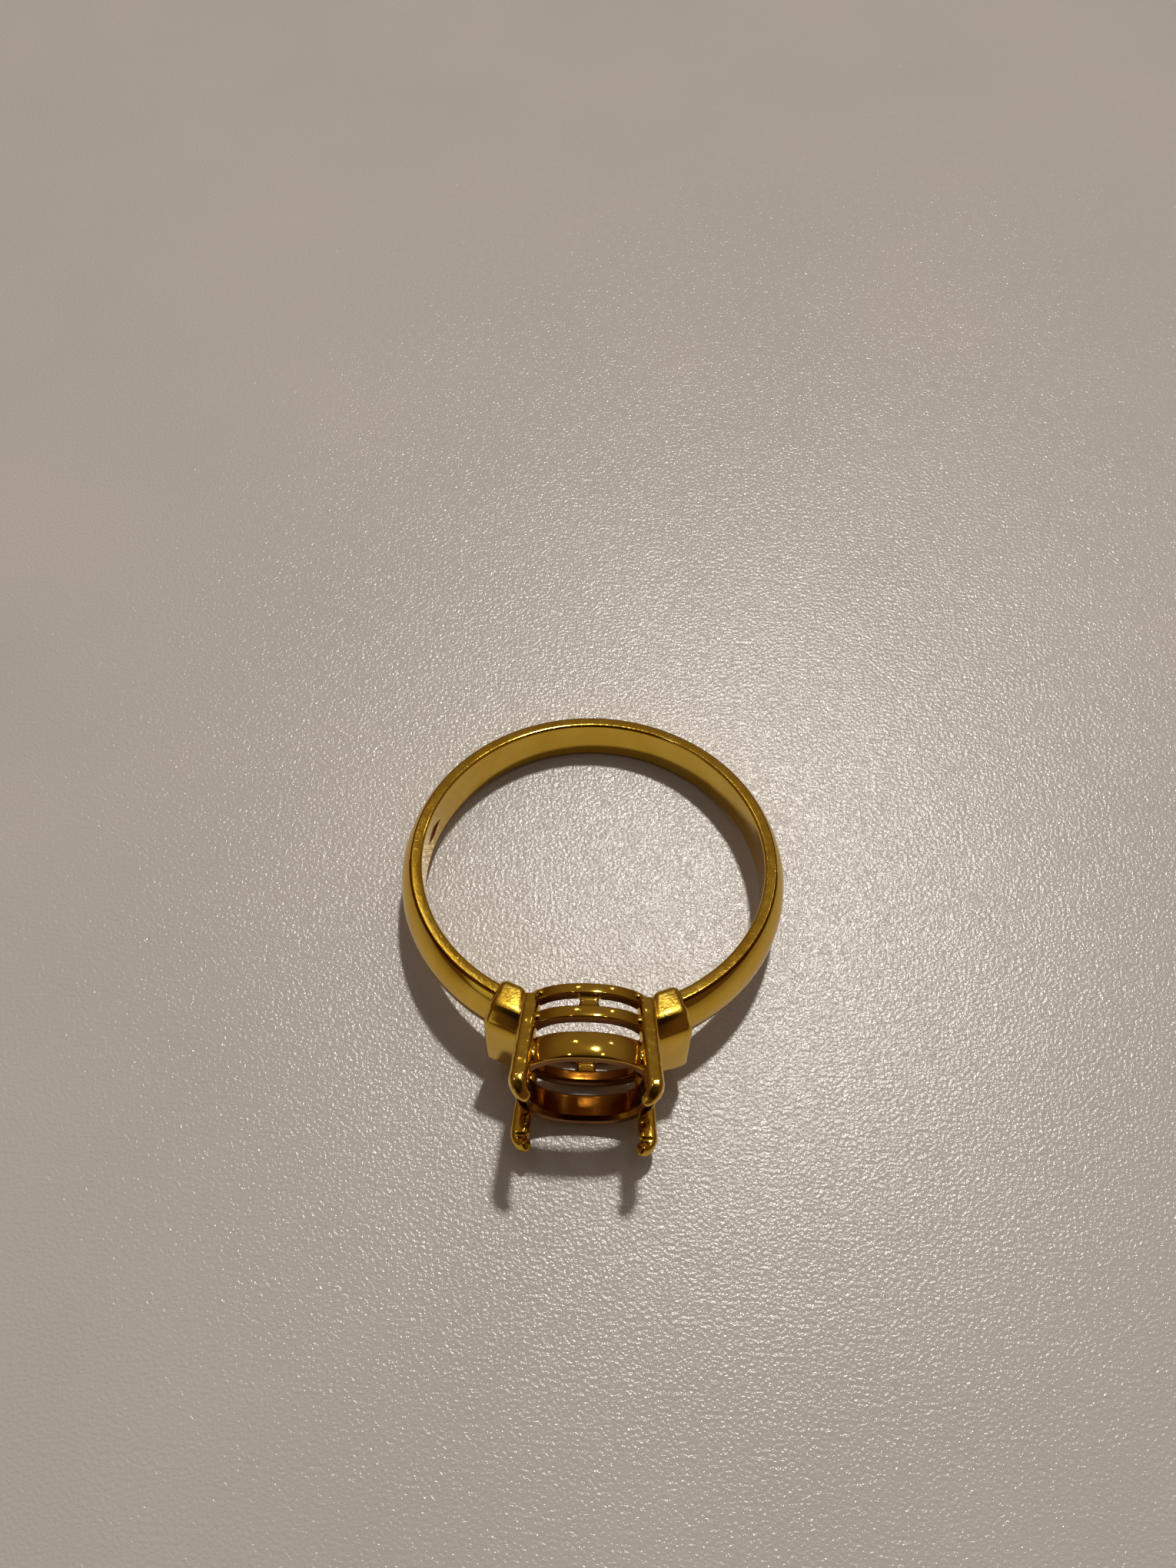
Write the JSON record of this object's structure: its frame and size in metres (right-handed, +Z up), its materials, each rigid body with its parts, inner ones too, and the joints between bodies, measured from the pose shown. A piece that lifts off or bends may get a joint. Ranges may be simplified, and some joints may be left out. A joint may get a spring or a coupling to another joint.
{
  "type": "engagement ring",
  "caption": "Yellow gold claw-set ring mount with an open gallery head and block shoulders, its stone not set, lying on its side.",
  "frame": {"origin": "on the surface the ring lies on, under the middle of its box", "axes": "+Z up from that surface; -Y towards the head, which leads; the finger axis leans 7.8 degrees from +Z towards +Y, as the ring rests on its head and the back of its shank; +X across the ring"},
  "size_m": [0.0192, 0.0234, 0.0076],
  "materials": {
    "polished_gold": "polished 18 carat yellow gold",
    "setting_gold": "polished yellow gold, softer in the corners of the setting"
  },
  "bodies": {
    "root": {"shank": "polished_gold", "left_shoulder": "polished_gold", "right_shoulder": "polished_gold", "base_rail": "setting_gold", "middle_rail": "setting_gold", "crown_rail": "setting_gold", "upper_strut": "setting_gold", "lower_strut": "setting_gold", "upper_left_claw": "setting_gold", "upper_right_claw": "setting_gold", "lower_left_claw": "setting_gold", "lower_right_claw": "setting_gold"}
  },
  "joints": []
}
